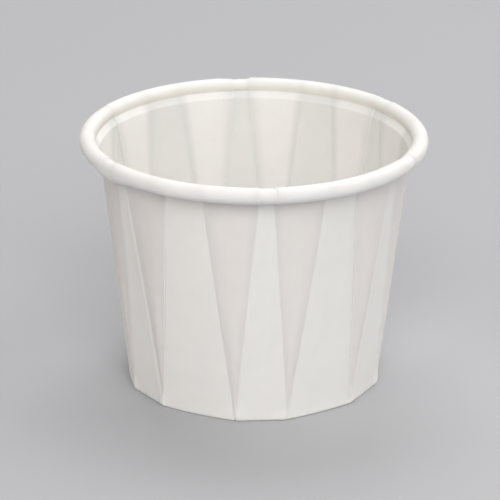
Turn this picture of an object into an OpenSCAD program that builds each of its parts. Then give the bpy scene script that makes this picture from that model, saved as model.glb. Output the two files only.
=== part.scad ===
// Paper souffle cup: one disc of paper, pleated into a tapered wall and curled over into a rim.
// The cup stands on its base, with its axis on Z and the middle of the base at the origin.
// Each fold of a pleat starts at a corner of the base and deepens towards the rim.

/* [Cup] */
// Height over the rolled rim, mm
cup_height = 32; // [26:0.5:33.5]
// Diameter over the rolled rim, mm
rim_d = 43; // [42:0.5:46]
// Diameter of the base across its corners, mm
base_d = 32.2; // [30:0.1:34]
// Inside radius of the bend between base and wall, mm
base_bend = 0.15; // [0.1:0.05:0.8]

/* [Paper] */
// Thickness of the sheet, mm
paper_t = 0.12; // [0.08:0.01:0.14]
// Air left between two folded layers, mm
layer_gap = 0.03; // [0.02:0.01:0.05]

/* [Pleats] */
// Box pleats around the cup, two folds each
pleats = 6; // [5:1:6]
// Share of a pleat's pitch that its raised panel takes at the base
raised_share = 0.42; // [0.38:0.01:0.5]
// Share of the spare paper that the folds take up
take_up = 0.93; // [0.8:0.01:1]
// How far the panels bow out, from flat at 0 to a round wall at 1
panel_bow = 0.45; // [0:0.05:0.9]

/* [Rolled rim] */
// Height of the roll, mm
roll_d = 2; // [1.8:0.1:2.6]
// Turn of the curl from the groove inside to its loose edge, degrees
curl_turn = 315; // [270:5:320]
// Part of their thickness that the folded layers keep in the roll, which is pressed
roll_press = 0.8; // [0.6:0.05:1]
// How far the ledge inside lies below the middle of the roll, mm
ledge_drop = 1.3; // [1.1:0.05:2]
// How far the ledge stands in from the roll, mm
ledge_step = 0.46; // [0.2:0.02:0.7]
// Height below the ledge over which the panels turn round, mm
rounding_h = 2.5; // [1:0.5:5]

/* [Hidden] */

// Colour of the paper, a faintly warm white
paper_colour = [0.93, 0.92, 0.9];

folds = 2 * pleats;
pitch = 360 / pleats;
fold_az = raised_share * pitch / 2; // from the middle of a raised panel to its fold
half_t = paper_t / 2;

// A fold turns the sheet back and forth on two equal bends
bend_r = (paper_t + layer_gap) / 2;
bend_l = PI * bend_r;
least_l = 0.1; // spacing of the points beside a fold that has only begun
near_end = 0.88; // part of a bend at which its last point lies, so that no two points meet

// Middle surface of the recessed panels, seen as a section through the axis
roll_r = roll_d / 2 - half_t * roll_press;
roll_mid = [rim_d / 2 - roll_d / 2, cup_height - roll_d / 2];
groove_at = 210; // place of the groove on the roll, degrees
groove = roll_mid + roll_r * [cos(groove_at), sin(groove_at)];
ledge = [roll_mid.x - roll_r - ledge_step, roll_mid.y - ledge_drop];
foot = [base_d / 2 - half_t, half_t];
wall_lean = atan2(ledge.y - foot.y, ledge.x - foot.x);
throat_lean = atan2(groove.y - ledge.y, groove.x - ledge.x);
foot_r = base_bend + half_t;
foot_l = foot_r * tan(wall_lean / 2);
foot_start = foot.x - foot_l;
wall_way = [cos(wall_lean), sin(wall_lean)];
wall_start = foot + foot_l * wall_way;
wall_l = norm(ledge - wall_start);
round_from = wall_l - rounding_h;

// Where along the wall the folds have turned two thirds of the way, and all the way
spare_rate = take_up * 2 * PI / folds;
foot_spare = spare_rate * (foot_start + foot_r * wall_lean * PI / 180 - wall_start.x);
wall_rate = spare_rate * (1 - cos(wall_lean));
part_turned = (2 * bend_l * spare_part(120) - foot_spare) / wall_rate;
full_turned = (2 * bend_l - foot_spare) / wall_rate;

// The part of both bends' length that a turn of a degrees takes out of the width
function spare_part(a) = 1 - sin(a) * 180 / (PI * a);

// The turn at which the bends take up the given part, found by halving
function turn_for(part, low = 0.5, high = 180, steps = 24) =
    steps == 0 ? (low + high) / 2
    : spare_part((low + high) / 2) < part ? turn_for(part, (low + high) / 2, high, steps - 1)
    : turn_for(part, low, (low + high) / 2, steps - 1);

// Unit vector at an azimuth, 0 towards -Y and growing towards +X
function way(az) = [sin(az), -cos(az)];

function mix(a, b, part) = a + (b - a) * part;

// One station of the section: radius, height, lean of the sheet, mitre and roundness
function on_wall(l, part) = [each (wall_start + l * wall_way), wall_lean, 1, part];
function on_roll(at) = [each (roll_mid + roll_r * [cos(at), sin(at)]), at - 90, roll_press, 1];
function at_corner(p, before, after, part) =
    [each p, (before + after) / 2, 1 / cos((after - before) / 2), part];

// The groove's corner is cut off by a short flat
groove_cut = 0.15; // length of throat left out
roll_from = groove_at - 12; // where the sheet joins the roll, degrees
groove_lean = (throat_lean + roll_from - 90) / 2;
throat_end = groove - groove_cut * [cos(throat_lean), sin(throat_lean)];
roll_steps = 9; // flats round the roll
ledge_round = mix(panel_bow, 1, 0.7); // how round the wall is at the ledge

stations = [
    for (a = [0, wall_lean / 2, wall_lean])
        [foot_start + foot_r * sin(a), foot.y + foot_r * (1 - cos(a)), a, 1, panel_bow],
    on_wall(part_turned, panel_bow),
    on_wall(full_turned, panel_bow),
    on_wall(mix(full_turned, round_from, 1 / 3), panel_bow),
    on_wall(mix(full_turned, round_from, 2 / 3), panel_bow),
    on_wall(round_from, panel_bow),
    at_corner(ledge, wall_lean, throat_lean, ledge_round),
    at_corner(throat_end, throat_lean, groove_lean, 1),
    for (k = [0 : roll_steps])
        let (at = mix(roll_from, groove_at - curl_turn, k / roll_steps))
            k == 0 ? at_corner(roll_mid + roll_r * way(at + 90), groove_lean, at - 90, 1)
            : on_roll(at)
];

last = len(stations) - 1;

// Length of sheet from the middle of the base to each station
sheet_l = [
    for (
        k = 0, l = foot_start;
        k <= last;
        l = l + (k < last ? norm([for (j = [0, 1]) stations[k + 1][j] - stations[k][j]]) : 0), k = k + 1
    ) l
];

// Points of one fold, from the raised panel to the recessed one, as [along, out, turn]
function fold_line(spare) =
    let (
        turn = spare < 2 * bend_l ? turn_for(spare / (2 * bend_l)) : 180,
        back = max(0, spare / 2 - bend_l),
        r = bend_l * 180 / (PI * turn),
        lift = 2 * r * (1 - cos(turn)),
        end = back / 2 - r * sin(turn),
        side = max(end + 2 * bend_r, 2 * least_l - end),
        raised = [
            [-side, lift, 0],
            [(end - side) / 2, lift, 0],
            for (f = [0, 0.5, near_end])
                [end + r * sin(f * turn), lift - r * (1 - cos(f * turn)), f * turn]
        ]
    )
    [
        each raised,
        [0, lift / 2, turn],
        for (k = [4 : -1 : 0]) [-raised[k][0], lift - raised[k][1], raised[k][2]]
    ];

// A point of the sheet in space. s is the station, az the azimuth that along and out start from,
// half_w half the width of the flat facet there, and tilt turns the out direction at a facet's edge.
function placed(s, az, along, out, half_w, tilt) =
    let (
        r = s[0],
        reach = out * s[3] * sin(s[2]),
        flat_way = way(az + tilt) / cos(tilt),
        flat = tilt == 0
            ? (sqrt(r * r - half_w * half_w) + reach) * way(az) + along * way(az + 90)
            : sqrt(r * r - half_w * half_w) * way(az) + along * way(az + 90) + reach * flat_way,
        circular = (r + reach) * way(az + along / r * 180 / PI)
    )
    [each mix(flat, circular, s[4]), s[1] - out * s[3] * cos(s[2])];

// One face of a fold at station s, side 1 for the face outside, -1 inside, 0 for the middle surface
function fold_face(s, line, az, side, way_round) =
    [for (k = [0 : len(line) - 1])
        let (
            p = line[k],
            along = p[0] + side * half_t * sin(p[2]),
            out = p[1] + side * half_t * cos(p[2]),
            half_w = -line[0][0],
            own = asin(half_w / s[0]),
            next = k == 0 ? fold_az - own : pitch / 2 - fold_az - own,
            tilt = k == 0 ? -(own + next) / 2 : (own + next) / 2
        )
        k == 0 || k == len(line) - 1
            ? placed(s, az, way_round * along, out, half_w, way_round * tilt)
            : placed(s, az, way_round * along, out, half_w, 0)
    ];

// Points of a recessed panel at station s, a third of its width apart
function panel_points(s, line, az, side) =
    let (
        own = asin(-line[0][0] / s[0]),
        half_panel = pitch / 2 - fold_az - own,
        reach = side * half_t * s[3]
    )
    [for (off = half_panel / 3 * [-1, 1])
        [
            each (mix(s[0] * cos(half_panel) / cos(off), s[0], s[4]) * way(az + off)
                + reach * sin(s[2]) * mix(way(az), way(az + off), s[4])),
            s[1] - reach * cos(s[2])
        ]
    ];

function backwards(list) = [for (k = [len(list) - 1 : -1 : 0]) list[k]];

// One face of the sheet at station k, all the way round
function ring(k, side) =
    let (
        s = stations[k],
        line = fold_line(max(0, spare_rate * (sheet_l[k] - s[0])))
    )
    [for (n = [0 : pleats - 1])
        each [
            each fold_face(s, line, n * pitch + fold_az, side, 1),
            each panel_points(s, line, (n + 0.5) * pitch, side),
            each backwards(fold_face(s, line, (n + 1) * pitch - fold_az, side, -1))
        ]
    ];

outer = [for (k = [0 : last]) ring(k, 1)];
inner = [for (k = [0 : last]) ring(k, -1)];
round_n = len(outer[0]);
face_n = round_n * (last + 1);

// Points: the outside face, the inside face, then the middle of the base below and above
points = [
    for (r = outer) each r,
    for (r = inner) each r,
    [0, 0, 0],
    [0, 0, paper_t]
];

// A folded-back layer runs the other way round, so its faces are split along the other diagonal.
// Layers that lie on each other then bend alike.
fold_n = len(fold_line(0));
panel_n = 2;
folded_back = [floor(fold_n / 2) - 1, floor(fold_n / 2)];

// A pitch holds a fold, a recessed panel, a fold and the side of a raised panel
function in_fold(n) = n % (2 * fold_n + panel_n) % (fold_n + panel_n);
function is_folded_back(n) = len(search(in_fold(n), folded_back)) > 0;

// Two triangles for the four corners of a face, in order round it
function halves(a, b, c, d, other) = other ? [[a, b, d], [b, c, d]] : [[a, b, c], [a, c, d]];

triangles = [
    for (k = [0 : last - 1], n = [0 : round_n - 1])
        let (
            a = k * round_n + n,
            b = k * round_n + (n + 1) % round_n,
            c = b + round_n,
            d = a + round_n,
            other = is_folded_back(n)
        )
        each [
            each halves(a, d, c, b, other),
            each halves(face_n + a, face_n + b, face_n + c, face_n + d, other)
        ],
    for (n = [0 : round_n - 1])
        let (
            m = (n + 1) % round_n,
            a = last * round_n + n,
            b = last * round_n + m
        )
        each [
            [2 * face_n, n, m],
            [2 * face_n + 1, face_n + m, face_n + n],
            [a, face_n + a, face_n + b],
            [a, face_n + b, b]
        ]
];

// The folded and curled sheet
module cup() {
    color(paper_colour)
        polyhedron(points, triangles);
}

cup();
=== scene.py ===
import math

import bpy
import numpy as np
from mathutils import Matrix, Vector


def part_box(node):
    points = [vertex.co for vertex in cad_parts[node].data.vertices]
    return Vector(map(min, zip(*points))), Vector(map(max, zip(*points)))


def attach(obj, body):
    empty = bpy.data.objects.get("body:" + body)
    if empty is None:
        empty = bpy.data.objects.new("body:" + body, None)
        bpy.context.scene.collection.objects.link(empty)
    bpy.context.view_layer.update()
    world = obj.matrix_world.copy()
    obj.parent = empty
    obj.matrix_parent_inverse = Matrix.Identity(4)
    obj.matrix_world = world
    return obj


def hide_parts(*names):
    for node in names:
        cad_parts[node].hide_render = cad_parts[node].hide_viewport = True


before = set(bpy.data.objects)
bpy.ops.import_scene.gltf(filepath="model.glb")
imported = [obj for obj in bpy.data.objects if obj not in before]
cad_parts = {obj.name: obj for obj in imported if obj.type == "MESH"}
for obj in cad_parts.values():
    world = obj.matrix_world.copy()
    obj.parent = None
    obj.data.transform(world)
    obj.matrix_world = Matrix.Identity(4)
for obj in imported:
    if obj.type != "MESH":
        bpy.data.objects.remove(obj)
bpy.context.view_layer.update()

mm = 0.001  # the shapes below are worked out in millimetres


# One disc of paper, pleated into a wall and curled over into a rim. Every length is in millimetres and every
# angle in degrees. The folds are counted from the one right of the front panel on, towards +X.
cupLow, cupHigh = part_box("cup")
cupSheet = {
    "height": cupHigh[2] / mm,
    "rimRadius": (cupHigh[0] - cupLow[0]) / 2 / mm - 0.01,  # a hair inside the solid's box
    "baseRadius": 16.1,  # to the corners
    "thickness": 0.12,
    # Pleats
    "pleats": 6,
    "raisedShare": 0.42,  # of a pitch, at the base
    "takeUp": 0.96,  # part of the spare paper that the folds take up
    "gap": 0.015,  # air between folded layers
    "panelBow": 0.45,  # how far the panels bow out, from flat at 0 to a round wall at 1
    "cornerSoftness": 0.09,
    "roundingBefore": 2.5,  # the panels turn round from this length of sheet before the ledge
    "roundingPast": 1.0,  # to this length past its start
    # Section
    "footRadius": 0.22,
    "ledgeRadius": 0.45,
    "ledgeStep": 0.46,
    "ledgeDrop": 1.3,
    "throatLean": 54.6,
    "grooveRadius": 0.22,
    "rollLean": 112.0,  # lean of the sheet where it joins the roll
    "rollHeight": 2.0,
    "curlTurn": 305.0,
    # Stacks of layers
    "rollPress": 0.65,  # part of their thickness that they keep in the roll
    "pressLength": 0.6,  # of sheet, over which the press comes in
    "edgeThin": 0.6,  # part of its height that a stack loses at its edges
    "edgeWidth": 1.1,  # of the slope on each side
    "slopeIn": 0.1,  # the slope ends this far past the layers' end
    "slopeOut": 0.15,  # and the one beyond it begins here
    "sink": 0.9,  # part of the folds' height that the raised panels sink in where nothing lies under them
    "sinkRoll": 0.7,  # the same in the roll
    "sinkWidth": 0.6,  # distance from the fold over which they sink
    # How far each fold stands open outside, and all of them inside
    "spring": (0.03, 0.07, 0.04, 0.02, 0.02, 0.02, 0.02, 0.02, 0.03, 0.04, 0.20, 0.05),
    "springInside": 0.004,
    "springShape": (0.8, 1.2),  # powers of the height and of its sine: it is most a little below the middle
    # How far each fold lies off its even place, at the base and at the rim
    "baseTurns": (-2.2, -4.4, -4.0, -2.0, 0.0, 0.0, 0.0, 0.0, 1.0, 2.9, 0.6, 0.7),
    "rimTurns": (0.5, -3.2, -1.5, -0.5, 2.1, -2.0, 2.8, 1.8, 3.6, -1.4, -0.2, -0.3),
    "lean": 0.05,  # how far the base lies off the rim's middle, along x
    # Waves round the wall: number, height, phase in radians
    "waves": ((2, 0.08, 0.7), (3, 0.056, 2.1), (5, 0.032, 4.0)),
    # In the roll: azimuth, half width, how far it goes out and up there, and whether the top follows
    "lumps": (
        (180.9, 4.2, -0.03, -0.13, True),
        (0.8, 4.0, -0.02, -0.04, True),
        (-58.5, 7.0, 0.02, -0.50, False),
        (116.0, 2.4, 0.06, 0.0, True),
        (-121.0, 3.0, 0.05, 0.0, True),
    ),
    # Grid
    "rings": {"base": 6, "foot": 7, "wall": 34, "ledge": 6, "throat": 3, "groove": 6, "roll": 40},
    "ringCrowding": 1.5,  # the wall's rings crowd towards the base, where the folds begin
    "fanRadius": 0.5,  # no ring is smaller, and a fan fills the middle
    "columns": {"raised": 8, "layer": 6, "bend": 5, "back": 5, "recessed": 5},
    "columnCrowding": 1.8,  # the raised panel's columns crowd towards the fold
    "bendEnd": 0.95,  # part of a bend at which its last column lies, so that no two meet
    "leastSide": 0.2,  # least width of a fold's layers
    # Widths over which the masks of the paper's colours and of the painted shade in the groove change
    "stackFade": 0.12,
    "rollFade": 0.5,
    "grooveShadeMiddle": 0.55,  # length of sheet from the groove
    "grooveShadeWidth": 0.4,
}


def smooth(x):
    # 0 up to x = 0, 1 from x = 1 on, 3x^2 - 2x^3 between
    x = np.clip(x, 0, 1)
    return x * x * (3 - 2 * x)


def alongPiece(piece, f):
    # Way from the start of a piece (length, lean a, lean b) to the part f of its length: the length times
    # (cos a, sin a) f where it is straight, and its radius times (sin t - sin a, cos a - cos t) with
    # t = a + (b - a) f where it curves
    run, a, b = piece
    f = np.asarray(f, float)[..., None]
    if a == b:
        return run * f * np.array([math.cos(a), math.sin(a)])
    t = a + (b - a) * f
    return run / (b - a) * np.concatenate([np.sin(t) - math.sin(a), math.cos(a) - np.cos(t)], -1)


def walkPieces(pieces):
    # Walks along the pieces: each starts where the last one ends. Returns the place and the length walked at
    # each one's start.
    starts, place, walked = {}, np.zeros(2), 0.0
    for name, piece in pieces.items():
        starts[name] = (place, walked)
        place, walked = place + alongPiece(piece, 1.0), walked + piece[0]
    return starts


def meridianPieces(c):
    # The section from the middle of the base to the loose edge of the curl. The two straight lengths, of the
    # wall and of the throat above the ledge, solve two equations that bring the roll's middle to its place.
    halfT = c["thickness"] / 2
    rollRadius = c["rollHeight"] / 2 - halfT * c["rollPress"]
    rollMid = np.array([c["rimRadius"] - c["rollHeight"] / 2, c["height"] - c["rollHeight"] / 2])
    ledge = rollMid - np.array([rollRadius + c["ledgeStep"], c["ledgeDrop"]])
    foot = np.array([c["baseRadius"] - halfT, halfT])
    wall = math.atan2(ledge[1] - foot[1], ledge[0] - foot[0])
    throat, join = math.radians(c["throatLean"]), math.radians(c["rollLean"])
    curl = math.radians(c["curlTurn"])
    flat = foot[0] - c["footRadius"] * math.tan(wall / 2)

    def pieces(wallRun, throatRun):
        return {
            "base": (flat, 0.0, 0.0),
            "foot": (c["footRadius"] * wall, 0.0, wall),
            "wall": (wallRun, wall, wall),
            "ledge": (c["ledgeRadius"] * (wall - throat), wall, throat),
            "throat": (throatRun, throat, throat),
            "groove": (c["grooveRadius"] * (join - throat), throat, join),
            "roll": (rollRadius * curl, join, join - curl),
        }

    joinAt = walkPieces(pieces(0, 0))["roll"][0]  # where the roll would start with no straight lengths
    reached = joinAt + rollRadius * np.array([math.sin(join), -math.cos(join)])
    ways = np.array([[math.cos(wall), math.cos(throat)], [math.sin(wall), math.sin(throat)]])
    wallRun, throatRun = np.linalg.solve(ways, rollMid - np.array([0, halfT]) - reached)
    return pieces(wallRun, throatRun)


def meridian(c):
    # Radius, height, lean, length of sheet and roundness at each ring. The roundness goes from the panels'
    # bow to 1 on the smooth step about the ledge.
    pieces = meridianPieces(c)
    starts = walkPieces(pieces)
    rows = []
    for name, (run, a, b) in pieces.items():
        place, walked = starts[name]
        f = np.linspace(0, 1, c["rings"][name], endpoint=name == "roll")
        if name == "wall":
            f = f ** c["ringCrowding"]
        rows.append(np.column_stack([place + alongPiece((run, a, b), f), a + (b - a) * f, walked + run * f]))
    rows = np.concatenate(rows)
    r, z, lean, length = rows[rows[:, 0] > c["fanRadius"]].T
    past = length - starts["ledge"][1]
    turned = smooth((past + c["roundingBefore"]) / (c["roundingBefore"] + c["roundingPast"]))
    roundness = c["panelBow"] + (1 - c["panelBow"]) * turned
    return r, z + c["thickness"] / 2, lean, length, roundness, starts


def foldPlaces(c):
    # Pitch of the pleats, half a raised panel's angle, and each fold's azimuth: a raised panel's middle, one
    # every pitch, plus or minus that half
    pitch = 2 * math.pi / c["pleats"]
    half = c["raisedShare"] * pitch / 2
    return pitch, half, [pitch * ((n + 1) // 2) + (-1) ** n * half for n in range(2 * c["pleats"])]


def foldLine(c, spare, scale):
    # Middle line of one fold at every ring, from the raised panel over the fold and back under it to the
    # recessed panel: (along, out, turn). The two bends have the same length of paper, and turn by the angle t
    # at which both lengths times 1 - sin t / t are the spare paper. Past half a turn the rest goes into the
    # layer folded back between them.
    bendRadius = (c["thickness"] + c["gap"]) / 2
    bendLength = math.pi * bendRadius
    angles = np.linspace(0.01, math.pi, 400)
    turn = np.interp(spare / (2 * bendLength), 1 - np.sin(angles) / angles, angles)[:, None]
    back = np.maximum(0, spare / 2 - bendLength)[:, None]
    radius = bendLength / turn
    lift = 2 * radius * (1 - np.cos(turn))
    end = back / 2 - radius * np.sin(turn)
    side = np.maximum(end + 2 * bendRadius, c["leastSide"] - end)

    # The half on the raised panel's side, layer and bend; the other half is the same, turned about the middle
    columns = c["columns"]
    over = np.linspace(0, 1, columns["layer"])[None, :]
    bend = np.linspace(0, c["bendEnd"], columns["bend"] + 1)[None, 1:]
    layer = [-side + (end + side) * over, lift + 0 * over, 0 * turn * over]
    curve = [end + radius * np.sin(bend * turn), lift - radius * (1 - np.cos(bend * turn)), bend * turn]
    half = [np.concatenate(p, 1) for p in zip(layer, curve)]
    across = np.linspace(1, -1, columns["back"] + 2)[None, 1:-1]
    middle = [
        half[0][:, -1:] * across,
        lift / 2 + (half[1][:, -1:] - lift / 2) * across,
        turn + 0 * across,
    ]
    along = np.concatenate([half[0], middle[0], -half[0][:, ::-1]], 1)
    out = np.concatenate([half[1], middle[1], lift - half[1][:, ::-1]], 1)
    turned = np.concatenate([half[2], middle[2], half[2][:, ::-1]], 1)
    places = np.arange(along.shape[1])
    onRaised = places < half[0].shape[1]
    onRecessed = onRaised[::-1]
    return along * scale, out, turned, end * scale, side * scale, lift, onRaised, onRecessed


def flatPanels(c, r, own, roundness, az):
    # Distance from the axis and the way out of the wall, at azimuths az counted from the middle of a raised
    # panel. A ring is the least of five flat chords, each r cos(half) / cos(az - middle), softly taken so
    # that its corners are rounded, and it turns into a circle as roundness goes to 1. own is half a fold's
    # angle.
    pitch, fold, _ = foldPlaces(c)
    middles = [-fold, 0, fold, pitch / 2, pitch - fold]
    halves = [own, fold - own, own, pitch / 2 - fold - own, own]
    reach = np.stack([r * np.cos(h) / np.cos(az - m) for m, h in zip(middles, halves)])
    weight = np.exp(-(reach - reach.min(0)) / c["cornerSoftness"])
    weight /= weight.sum(0)
    flat = (weight * reach).sum(0)
    facing = sum(w * m for w, m in zip(weight, middles))
    return flat + (r - flat) * roundness, facing + (az - facing) * roundness


def cupRings(c, side):
    # One face of the sheet, as radius, azimuth and height on a grid (rings, points round), and its masks.
    # side is 1 for the face outside and -1 for the face inside: a point leaves the middle line by half the
    # thickness, square to the sheet, so by sin(turn) along and cos(turn) out.
    r, z, lean, length, roundness, starts = meridian(c)
    pitch, fold, places = foldPlaces(c)
    folds = len(places)
    spare = np.maximum(0, c["takeUp"] * 2 * math.pi / folds * (length - r))
    flatRadius = starts["foot"][0][0]
    scale = np.clip(r / flatRadius, 0, 1)[:, None]
    along, out, turn, end, edge, lift, onRaised, onRecessed = foldLine(c, spare, scale)
    r = r[:, None]

    # The folds stand open a little between the base and the ledge, each by its own amount
    wallStart, wallEnd = starts["wall"][1], starts["ledge"][1]
    upWall = np.clip((length - wallStart) / (wallEnd - wallStart), 0, 1)[:, None]
    heightPower, sinePower = c["springShape"]
    swell = (np.sin(math.pi * upWall ** heightPower) ** sinePower)[None]
    tip = np.clip((along + edge) / (2 * edge), 0, 1) ** 2
    tipInside = np.clip((edge - along) / (2 * edge), 0, 1) ** 2
    out = out[None] + np.array(c["spring"])[:, None, None] * swell * tip * ~onRecessed[None, None, :]
    out = out - c["springInside"] * swell * tipInside * ~onRaised[None, None, :]

    # The panels on both sides of the fold
    raised = 1 - np.linspace(1, 0, c["columns"]["raised"] + 1)[None, :-1] ** c["columnCrowding"]
    recessed = np.linspace(0, 1, c["columns"]["recessed"] + 1)[None, 1:]
    stripA = -fold * r + (fold * r - edge) * raised
    stripB = edge + ((pitch / 2 - fold) * r - edge) * recessed
    everyFold = np.ones((folds, 1, 1))
    along = np.concatenate([stripA, along, stripB], 1)
    turn = np.concatenate([0 * stripA, turn, 0 * stripB], 1)
    out = np.concatenate([(lift + 0 * stripA)[None] * everyFold, out, (0 * stripB)[None] * everyFold], 2)

    # The raised panel sinks in by the hidden edge of the fold, and the roll is pressed
    pastGroove = length - starts["groove"][1]
    inRoll = np.clip(pastGroove / c["pressLength"], 0, 1)[:, None]
    fromFold = np.concatenate([-edge - stripA, 0 * along[:, stripA.shape[1]:]], 1)
    sink = c["sink"] + (c["sinkRoll"] - c["sink"]) * inRoll
    press = 1 - (1 - c["rollPress"]) * inRoll
    out = out * (1 - sink * (1 - np.exp(-(fromFold / c["sinkWidth"]) ** 2)))[None]

    # The stack thins towards its edges: all heights over the face inside shrink together
    halfT = c["thickness"] / 2
    away = np.abs(along) - end
    inwards = smooth((away + c["edgeWidth"]) / (c["edgeWidth"] + c["slopeIn"]))
    outwards = 1 - smooth((away - c["slopeOut"]) / c["edgeWidth"])
    thin = 1 - c["edgeThin"] * np.clip(spare[:, None], 0, 1) * inwards * outwards
    acrossSheet = along + side * halfT * np.sin(turn) * scale
    outSheet = ((out + side * halfT * np.cos(turn)[None] + halfT) * thin - halfT) * press

    # From the sheet to the round wall. Nothing goes below the base.
    az = fold + acrossSheet / r
    reach, facing = flatPanels(c, r, edge / r, roundness[:, None], az)
    outR = outSheet * np.sin(lean)[None, :, None]
    u = reach * np.sin(az) + outR * np.sin(facing)
    v = reach * np.cos(az) + outR * np.cos(facing)
    high = np.maximum(z[None, :, None] - outSheet * np.cos(lean)[None, :, None], 0)
    radius, angle = np.hypot(u, v), np.arctan2(u, v)

    def roundTheCup(values):
        # Sets the folds side by side. Every other one is mirrored, and each leaves out a shared column.
        picks = [slice(0, -1) if n % 2 == 0 else slice(None, 0, -1) for n in range(folds)]
        return np.concatenate([values[n][:, pick] for n, pick in enumerate(picks)], 1)

    n = np.arange(folds)[:, None, None]
    angle = pitch * ((n + 1) // 2) + (1 - 2 * (n % 2)) * angle
    radius, angle, high = (roundTheCup(values) for values in (radius, angle, high))
    stacked = np.clip((end - np.abs(along)) / c["stackFade"] + 0.5, 0, 1)
    # Mask of the painted highlight along the folds' bends
    bent = np.sin(turn) * np.clip(spare[:, None], 0, 1)
    masks = {
        "layers": roundTheCup([stacked] * folds),
        "foldEdge": roundTheCup([bent] * folds),
        "roll": np.clip(pastGroove / c["rollFade"], 0, 1)[:, None] + 0 * radius,
        # Mask of the painted shade in the groove under the roll
        "groove": np.exp(-((pastGroove - c["grooveShadeMiddle"]) / c["grooveShadeWidth"]) ** 2)[:, None] + 0 * radius,
        "inside": np.full(radius.shape, float(side < 0)),
    }
    return radius, angle, high, masks


def settle(c, radius, angle, high, rolled):
    # The small unevenness of a pressed cup, which moves all layers alike: a sum of sines round the wall that
    # swells with the squared sine of the height, folds off their even places by a turn that goes evenly from
    # the base's to the rim's, and lumps in the roll that fade on the smooth step.
    up = np.clip(high / c["height"], 0, 1)
    places = foldPlaces(c)[2]
    atBase = np.interp(angle, places, np.radians(c["baseTurns"]), period=2 * math.pi)
    atRim = np.interp(angle, places, np.radians(c["rimTurns"]), period=2 * math.pi)
    wave = sum(size * np.sin(number * angle + phase) for number, size, phase in c["waves"])
    for middle, width, outward, upward, topFollows in c["lumps"]:
        off = (np.degrees(angle) - middle + 180) % 360 - 180
        lump = rolled * (1 - smooth(2 * np.abs(off) / width - 1))
        if not topFollows:
            lump = lump * smooth((c["height"] - high) / c["rollHeight"])
        radius, high = radius + outward * lump, high + upward * lump
    turned = (atBase + (atRim - atBase) * up) * np.clip(radius / c["baseRadius"], 0, 1)
    return radius + wave * np.sin(math.pi * up) ** 2, angle + turned, high


def buildCup(c):
    # Each face of the sheet is quads between neighbouring rings, with a fan at the middle of the base, and
    # the loose edge of the curl is quads between the faces. A point's x is radius sin(azimuth) and its y
    # -radius cos(azimuth).
    coords, masks = [], []
    for side in (1, -1):
        radius, angle, high, faceMasks = cupRings(c, side)
        rings, around = radius.shape
        radius, angle, high = settle(c, radius, angle, high, faceMasks["roll"])
        aside = c["lean"] * np.clip(1 - high / c["height"], 0, 1)
        x, y = radius * np.sin(angle) + aside, -radius * np.cos(angle)
        coords.append(np.stack([x, y, high], -1).reshape(-1, 3))
        masks.append(faceMasks)
    coords.append(np.array([[c["lean"], 0, 0], [c["lean"], 0, c["thickness"]]]))
    coords = np.concatenate(coords) * mm

    faceN = rings * around
    n = np.arange(around)
    nextN = (n + 1) % around
    ringStart = np.arange(rings - 1)[:, None] * around
    a, b = ringStart + n, ringStart + nextN
    quads = np.stack([a, b, b + around, a + around], -1).reshape(-1, 4)
    lastA, lastB = (rings - 1) * around + n, (rings - 1) * around + nextN
    rim = np.stack([lastA, lastB, faceN + lastB, faceN + lastA], -1)
    quads = np.concatenate([quads, faceN + quads[:, ::-1], rim])
    under = np.stack([np.full(around, 2 * faceN), nextN, n], -1)
    above = np.stack([np.full(around, 2 * faceN + 1), faceN + n, faceN + nextN], -1)
    tris = np.concatenate([under, above])

    mesh = bpy.data.meshes.new("foldedCup")
    loops = np.concatenate([quads.ravel(), tris.ravel()])
    starts = np.concatenate([np.arange(len(quads)) * 4, len(quads) * 4 + np.arange(len(tris)) * 3])
    mesh.vertices.add(len(coords))
    mesh.vertices.foreach_set("co", coords.ravel())
    mesh.loops.add(len(loops))
    mesh.loops.foreach_set("vertex_index", loops.astype(np.int32))
    mesh.polygons.add(len(starts))
    mesh.polygons.foreach_set("loop_start", starts.astype(np.int32))
    mesh.update(calc_edges=True)
    mesh.validate()
    for name in masks[0]:
        middles = [0.0, float(name == "inside")]  # the points at the middle of the base
        values = np.concatenate([masks[0][name].ravel(), masks[1][name].ravel(), middles])
        mesh.attributes.new(name, "FLOAT", "POINT").data.foreach_set("value", values.astype(np.float32))
    mesh.shade_smooth()
    piece = bpy.data.objects.new("foldedCup", mesh)
    bpy.context.scene.collection.objects.link(piece)
    print("folded cup:", len(quads) * 2 + len(tris), "triangles")
    return piece


cup = buildCup(cupSheet)
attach(cup, "root")
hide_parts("cup")


# Treated white paper. The colours for one layer and for three are painted light through the sheet: where one
# layer lets light through it looks greener and darker inside, where three lie together it is whiter inside
# and warmer outside
paper = {
    "singleOutside": (0.815, 0.80, 0.765),
    "stackedOutside": (0.85, 0.80, 0.755),
    "singleInside": (0.755, 0.75, 0.72),
    "stackedInside": (0.91, 0.875, 0.835),
    "lowPaintedLight": 1.10,  # painted light: how much whiter the outside is painted at the base than at the top
    "edge": (0.98, 0.965, 0.94),  # painted highlight: the folds' bends are painted a little whiter
    "edgeShare": 0.85,
    "rim": (0.905, 0.88, 0.84),
    "grooveShadeTint": (0.97, 0.935, 0.87),  # painted shade: darkens and warms the groove under the roll
    "cloudSize": 2.2,  # mm
    "cloudRange": (0.965, 1.03),
    "sheenSize": 1.1,  # mm
    "roughness": (0.47, 0.67),
    "fibreSize": 0.35,  # mm
    "fibreDepth": 0.02,  # mm
    "fibreStrength": 0.22,
    "ior": 1.45,
    "throughLight": 0.30,  # share of the light that goes into the sheet
    "throughReach": (0.36, 0.33, 0.29),  # mm, for red, green and blue
}


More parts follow.
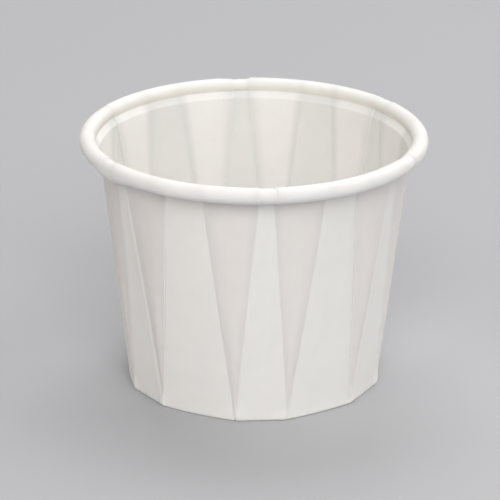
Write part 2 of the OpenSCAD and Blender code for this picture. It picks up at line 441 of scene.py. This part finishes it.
def paperMaterial(p, height):
    # The masks choose the sheet's colour, with painted light for one layer or three, a painted highlight on
    # the folds and painted shade in the groove under the roll, and the outside is painted lighter at the
    # base. A cloudy noise multiplies it, a finer noise sets the roughness, and the finest lifts the fibres.
    # Light goes through by scattering under the surface.
    mat = bpy.data.materials.new("treatedPaper")
    mat.use_nodes = True
    nodes, links = mat.node_tree.nodes, mat.node_tree.links
    bsdf = nodes["Principled BSDF"]

    def node(kind, **values):
        made = nodes.new(kind)
        for name, value in values.items():
            setattr(made, name, value)
        return made

    def mask(name):
        return node("ShaderNodeAttribute", attribute_name=name).outputs["Fac"]

    def mixColour(factor, a, b, blend="MIX"):
        made = node("ShaderNodeMix", data_type="RGBA", blend_type=blend)
        for socket, value in ((made.inputs[0], factor), (made.inputs[6], a), (made.inputs[7], b)):
            if isinstance(value, tuple):
                socket.default_value = (*value, 1)
            elif isinstance(value, float):
                socket.default_value = value
            else:
                links.new(value, socket)
        return made.outputs[2]

    def ramp(value, low, high, top=1.0):
        # Takes 0 to top evenly onto low to high
        made = node("ShaderNodeMapRange")
        links.new(value, made.inputs["Value"])
        made.inputs["From Max"].default_value = top
        made.inputs["To Min"].default_value = low
        made.inputs["To Max"].default_value = high
        return made.outputs["Result"]

    def grey(value):
        made = node("ShaderNodeCombineColor")
        for socket in made.inputs[:3]:
            links.new(value, socket)
        return made.outputs["Color"]

    where = node("ShaderNodeTexCoord").outputs["Object"]

    def noise(size, detail, roughness=0.5):
        made = node("ShaderNodeTexNoise")
        links.new(where, made.inputs["Vector"])
        made.inputs["Scale"].default_value = 1 / (size * mm)
        made.inputs["Detail"].default_value = detail
        made.inputs["Roughness"].default_value = roughness
        return made.outputs["Fac"]

    place = node("ShaderNodeSeparateXYZ")
    links.new(where, place.inputs[0])
    outside = mixColour(mask("layers"), p["singleOutside"], p["stackedOutside"])
    # Painted light: the outside is painted lighter towards the base
    paintedLight = ramp(place.outputs["Z"], p["lowPaintedLight"], 1.0, height * mm)
    outside = mixColour(1.0, outside, grey(paintedLight), "MULTIPLY")
    within = mixColour(mask("layers"), p["singleInside"], p["stackedInside"])
    sheet = mixColour(mask("inside"), outside, within)
    # Painted highlight along the folds' bends
    foldHighlight = ramp(mask("foldEdge"), 0.0, p["edgeShare"])
    sheet = mixColour(foldHighlight, sheet, p["edge"])
    sheet = mixColour(mask("roll"), sheet, p["rim"])
    # Painted shade in the groove under the roll
    sheet = mixColour(mask("groove"), sheet, mixColour(1.0, sheet, p["grooveShadeTint"], "MULTIPLY"))
    sheet = mixColour(1.0, sheet, grey(ramp(noise(p["cloudSize"], 4.0), *p["cloudRange"])), "MULTIPLY")
    links.new(sheet, bsdf.inputs["Base Color"])
    links.new(ramp(noise(p["sheenSize"], 3.0), *p["roughness"]), bsdf.inputs["Roughness"])

    fibres = node("ShaderNodeBump")
    fibres.inputs["Strength"].default_value = p["fibreStrength"]
    fibres.inputs["Distance"].default_value = p["fibreDepth"] * mm
    links.new(noise(p["fibreSize"], 6.0, 0.6), fibres.inputs["Height"])
    links.new(fibres.outputs["Normal"], bsdf.inputs["Normal"])
    bsdf.inputs["IOR"].default_value = p["ior"]
    bsdf.inputs["Subsurface Weight"].default_value = p["throughLight"]
    bsdf.inputs["Subsurface Radius"].default_value = p["throughReach"]
    bsdf.inputs["Subsurface Scale"].default_value = 1 * mm
    return mat


cup.data.materials.append(paperMaterial(paper, cupSheet["height"]))
print("paper made")


# Floor, lamps and camera, in metres and degrees
stage = {
    "floorColour": (0.463, 0.466, 0.482),
    "floorRoughness": 0.9,
    "floorShine": 0.2,
    "floorSize": 1.8,
    "floorHigh": -0.01 * mm,  # just below the cup, so that the base doesn't lie in it
    "worldStrength": 0.20,
    "backdropColour": (0.53, 0.535, 0.55),  # what the camera and reflections see
    "lampSize": 0.4,
    "lampDistance": 0.7,
    "lampAim": (0, 0, 0.016),
    "lamps": {  # azimuth from the front towards +X, elevation, watts, colour
        "front": (0, 39, 2.6, (1, 1, 1)),
        "frontRight": (42, 24, 0.7, (1, 1, 1)),
        "right": (92, 52, 1.0, (1, 0.97, 0.94)),
        "backRight": (135, 26, 0.9, (1, 0.99, 0.98)),
        "back": (182, 62, 2.05, (1, 1, 1)),
        "left": (300, 30, 0.8, (1, 0.94, 0.88)),
    },
}


def wayTo(azimuth, elevation):
    # Unit vector (sin a cos e, -cos a cos e, sin e)
    a, e = math.radians(azimuth), math.radians(elevation)
    return Vector((math.sin(a) * math.cos(e), -math.cos(a) * math.cos(e), math.sin(e)))


def floorPiece(s):
    # One square about the origin, half its size each way
    half = s["floorSize"] / 2
    mesh = bpy.data.meshes.new("floor")
    corners = [(x * half, y * half, s["floorHigh"]) for x, y in ((-1, -1), (1, -1), (1, 1), (-1, 1))]
    mesh.from_pydata(corners, [], [(0, 1, 2, 3)])
    made = bpy.data.objects.new("floor", mesh)
    bpy.context.scene.collection.objects.link(made)
    mat = bpy.data.materials.new("floorGrey")
    mat.use_nodes = True
    bsdf = mat.node_tree.nodes["Principled BSDF"]
    bsdf.inputs["Base Color"].default_value = (*s["floorColour"], 1)
    bsdf.inputs["Roughness"].default_value = s["floorRoughness"]
    bsdf.inputs["Specular IOR Level"].default_value = s["floorShine"]
    mesh.materials.append(mat)


def areaLamp(s, name, azimuth, elevation, power, colour):
    # A square lamp that faces its aim, from the lamps' distance along the way to it
    data = bpy.data.lights.new(name, "AREA")
    data.energy, data.size, data.color = power, s["lampSize"], colour
    made = bpy.data.objects.new(name, data)
    bpy.context.scene.collection.objects.link(made)
    away = wayTo(azimuth, elevation)
    made.location = Vector(s["lampAim"]) + away * s["lampDistance"]
    made.rotation_euler = away.to_track_quat("Z", "Y").to_euler()


def softRoom(s):
    # A faint even light from all sides, and a plain backdrop for camera, glossy and transmission rays
    made = bpy.data.worlds.new("softRoom")
    made.use_nodes = True
    nodes, links = made.node_tree.nodes, made.node_tree.links
    light = nodes["Background"]
    light.inputs["Color"].default_value = (1, 1, 1, 1)
    light.inputs["Strength"].default_value = s["worldStrength"]
    backdrop = nodes.new("ShaderNodeBackground")
    backdrop.inputs["Color"].default_value = (*s["backdropColour"], 1)
    path, mixed = nodes.new("ShaderNodeLightPath"), nodes.new("ShaderNodeMixShader")
    seen = path.outputs["Is Camera Ray"]
    for ray in ("Is Glossy Ray", "Is Transmission Ray"):
        either = nodes.new("ShaderNodeMath")
        either.operation = "MAXIMUM"
        links.new(seen, either.inputs[0])
        links.new(path.outputs[ray], either.inputs[1])
        seen = either.outputs[0]
    links.new(seen, mixed.inputs[0])
    links.new(light.outputs[0], mixed.inputs[1])
    links.new(backdrop.outputs[0], mixed.inputs[2])
    links.new(mixed.outputs[0], nodes["World Output"].inputs["Surface"])
    bpy.context.scene.world = made


camera = {
    "azimuth": -4.5,
    "elevation": 21.878,
    "roll": 0.318,
    "distance": 0.330,
    "target": (-0.000393, 0.000031, 0.016066),
    "photoWidth": 500,  # pixels
    "focalPixels": 2636.8,
    "sensorWidth": 36.0,  # mm
}


def placeCamera(c):
    # At its distance from the target, along the way to it. right = (cos a, sin a, 0) and up = way x right are
    # then rolled by t: right cos t + up sin t, and up cos t - right sin t.
    data = bpy.data.cameras.new("camera")
    data.sensor_width = c["sensorWidth"]
    data.lens = c["focalPixels"] / c["photoWidth"] * c["sensorWidth"]
    data.clip_start, data.clip_end = 0.01, 20
    a, t = math.radians(c["azimuth"]), math.radians(c["roll"])
    back = wayTo(c["azimuth"], c["elevation"])
    right = Vector((math.cos(a), math.sin(a), 0))
    up = back.cross(right)
    right, up = right * math.cos(t) + up * math.sin(t), up * math.cos(t) - right * math.sin(t)
    made = bpy.data.objects.new("camera", data)
    place = Vector(c["target"]) + back * c["distance"]
    made.matrix_world = Matrix.Translation(place) @ Matrix((right, up, back)).transposed().to_4x4()
    bpy.context.scene.collection.objects.link(made)
    bpy.context.scene.camera = made


floorPiece(stage)
for name, values in stage["lamps"].items():
    areaLamp(stage, name, *values)
softRoom(stage)
placeCamera(camera)
bpy.context.scene.view_settings.view_transform = "Standard"
print("stage set")
